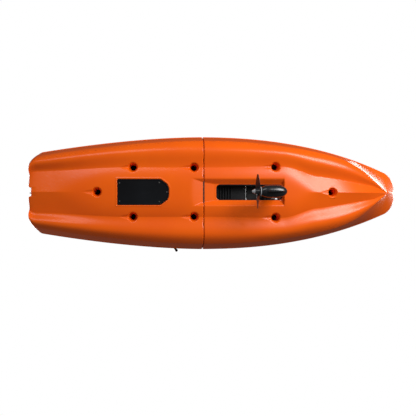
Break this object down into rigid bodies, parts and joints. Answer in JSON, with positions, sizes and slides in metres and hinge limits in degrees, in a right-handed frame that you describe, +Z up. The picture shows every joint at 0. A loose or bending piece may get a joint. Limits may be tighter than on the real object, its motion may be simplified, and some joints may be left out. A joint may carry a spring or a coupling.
{
  "type": "sit-on-top pedal kayak",
  "caption": "Two-module sit-on-top kayak with a kick-up propeller pedal drive, scupper holes, framed seat and a fold-over rudder steered by a hand lever.",
  "frame": {"origin": "on the keel line where the bow and stern modules meet", "axes": "+X towards the bow, +Y to port, +Z up towards the deck"},
  "size_m": [2.966, 0.9235, 1.0021],
  "materials": {
    "hull_plastic": "glossy moulded polyethylene",
    "black_plastic": "moulded black plastic",
    "cover_plastic": "fine-grained black plastic",
    "black_rubber": "soft black rubber",
    "foam": "closed-cell foam",
    "drive_plastic": "glass-filled nylon",
    "collar_plastic": "light grey plastic",
    "steel": "stainless",
    "aluminium": "anodised",
    "dark_aluminium": "black anodised",
    "brass": "bronze bearing metal",
    "gear_plastic": "acetal",
    "fabric": "woven seat fabric",
    "cord": "braided cord"
  },
  "bodies": {
    "hull": {"stern_hull": "hull_plastic", "bow_hull": "hull_plastic", "seam_gasket": "foam", "scupper_plugs": "black_rubber", "bay_cover": "cover_plastic", "hatch_rims": "black_plastic", "drain_plugs": "black_plastic", "carry_grips": "black_plastic", "gear_tracks": "dark_aluminium", "rod_holders": "black_plastic", "latch_bases": "black_plastic", "latch_keepers": "black_plastic", "bow_handle_brackets": "black_plastic", "tank_bungees": "cord", "bungee_hooks": "black_plastic", "deck_screws": "steel", "drive_cradle": "black_plastic", "seat_frame": "aluminium", "seat_feet": "black_rubber", "seat_cushion": "fabric", "seat_bolts": "steel", "lever_mount": "black_plastic", "rudder_bracket": "aluminium", "rudder_pin": "steel", "steering_line": "cord", "line_guides": "black_plastic"},
    "drive": {"drive_housing_port": "drive_plastic", "drive_housing_starboard": "drive_plastic", "housing_screws": "steel", "trunnion_pins": "steel", "lift_handle": "black_rubber", "skeg": "drive_plastic", "shaft_bearings": "brass", "pod_collar": "collar_plastic"},
    "crank": {"crank_axle": "steel", "crank_gear": "gear_plastic", "crank_arms": "aluminium", "pedal_axles": "steel"},
    "port_pedal": {"pedal_port": "black_plastic"},
    "starboard_pedal": {"pedal_starboard": "black_plastic"},
    "upright_shaft": {"drive_shaft": "steel", "upper_pinion": "gear_plastic", "lower_gear": "gear_plastic"},
    "prop": {"prop_shaft": "steel", "prop_pinion": "gear_plastic", "propeller": "drive_plastic", "prop_nut": "collar_plastic"},
    "port_latch": {"port_latch_lever": "black_plastic"},
    "starboard_latch": {"starboard_latch_lever": "black_plastic"},
    "stern_lid": {"stern_hatch_lid": "black_plastic"},
    "bow_lid": {"bow_hatch_lid": "black_plastic"},
    "bow_bail": {"bow_handle": "black_rubber"},
    "seat_back": {"seat_back_frame": "aluminium", "back_cushion": "fabric"},
    "lever": {"steering_lever": "black_plastic", "lever_knob": "black_rubber"},
    "yoke": {"rudder_yoke": "dark_aluminium", "blade_bolt": "steel"},
    "blade": {"rudder_blade": "black_plastic"}
  },
  "joints": [
    {"name": "drive_kick_up", "type": "hinge", "parent": "hull", "child": "drive", "pos_m": [0.52, 0, 0.268], "axis": [0, 1, 0], "range_deg": [0, 30]},
    {"name": "crank_spin", "type": "hinge", "parent": "drive", "child": "crank", "pos_m": [0.52, 0, 0.475], "axis": [0, 1, 0], "continuous": true},
    {"name": "port_pedal_spin", "type": "hinge", "parent": "crank", "child": "port_pedal", "pos_m": [0.67, 0.104, 0.475], "axis": [0, 1, 0], "continuous": true},
    {"name": "starboard_pedal_spin", "type": "hinge", "parent": "crank", "child": "starboard_pedal", "pos_m": [0.37, -0.104, 0.475], "axis": [0, 1, 0], "continuous": true},
    {"name": "upright_shaft_spin", "type": "hinge", "parent": "drive", "child": "upright_shaft", "pos_m": [0.52, 0, 0.1], "axis": [0, 0, 1], "continuous": true},
    {"name": "prop_spin", "type": "hinge", "parent": "drive", "child": "prop", "pos_m": [0.379, 0, -0.21], "axis": [1, 0, 0], "continuous": true},
    {"name": "port_latch_open", "type": "hinge", "parent": "hull", "child": "port_latch", "pos_m": [0.04, 0.4, 0.316], "axis": [0, 1, 0], "range_deg": [0, 105]},
    {"name": "starboard_latch_open", "type": "hinge", "parent": "hull", "child": "starboard_latch", "pos_m": [0.04, -0.4, 0.316], "axis": [0, 1, 0], "range_deg": [0, 105]},
    {"name": "stern_lid_twist", "type": "hinge", "parent": "hull", "child": "stern_lid", "pos_m": [-0.648, 0, 0.185], "axis": [0, 0, 1], "range_deg": [0, 90]},
    {"name": "bow_lid_twist", "type": "hinge", "parent": "hull", "child": "bow_lid", "pos_m": [1.202, 0, 0.215], "axis": [0, 0, 1], "range_deg": [0, 90]},
    {"name": "bow_handle_lift", "type": "hinge", "parent": "hull", "child": "bow_bail", "pos_m": [1.468, 0, 0.343], "axis": [0, 1, 0], "range_deg": [0, 110]},
    {"name": "seat_back_fold", "type": "hinge", "parent": "hull", "child": "seat_back", "pos_m": [-0.4, 0, 0.35], "axis": [0, 1, 0], "range_deg": [-12, 82]},
    {"name": "steering_lever_swing", "type": "hinge", "parent": "hull", "child": "lever", "pos_m": [-0.265, 0.372, 0.321], "axis": [0, 0, 1], "range_deg": [-35, 35]},
    {"name": "rudder_steer", "type": "hinge", "parent": "hull", "child": "yoke", "pos_m": [-1.328, 0, 0.308], "axis": [0, 0, 1], "range_deg": [-35, 35]},
    {"name": "rudder_deploy", "type": "hinge", "parent": "yoke", "child": "blade", "pos_m": [-1.362, 0, 0.398], "axis": [0, -1, 0], "range_deg": [0, 265]}
  ],
  "couplings": [
    {"joint": "upright_shaft_spin", "follows": "crank_spin", "ratio": 4},
    {"joint": "prop_spin", "follows": "crank_spin", "ratio": 10},
    {"joint": "rudder_steer", "follows": "steering_lever_swing", "ratio": 1}
  ]
}
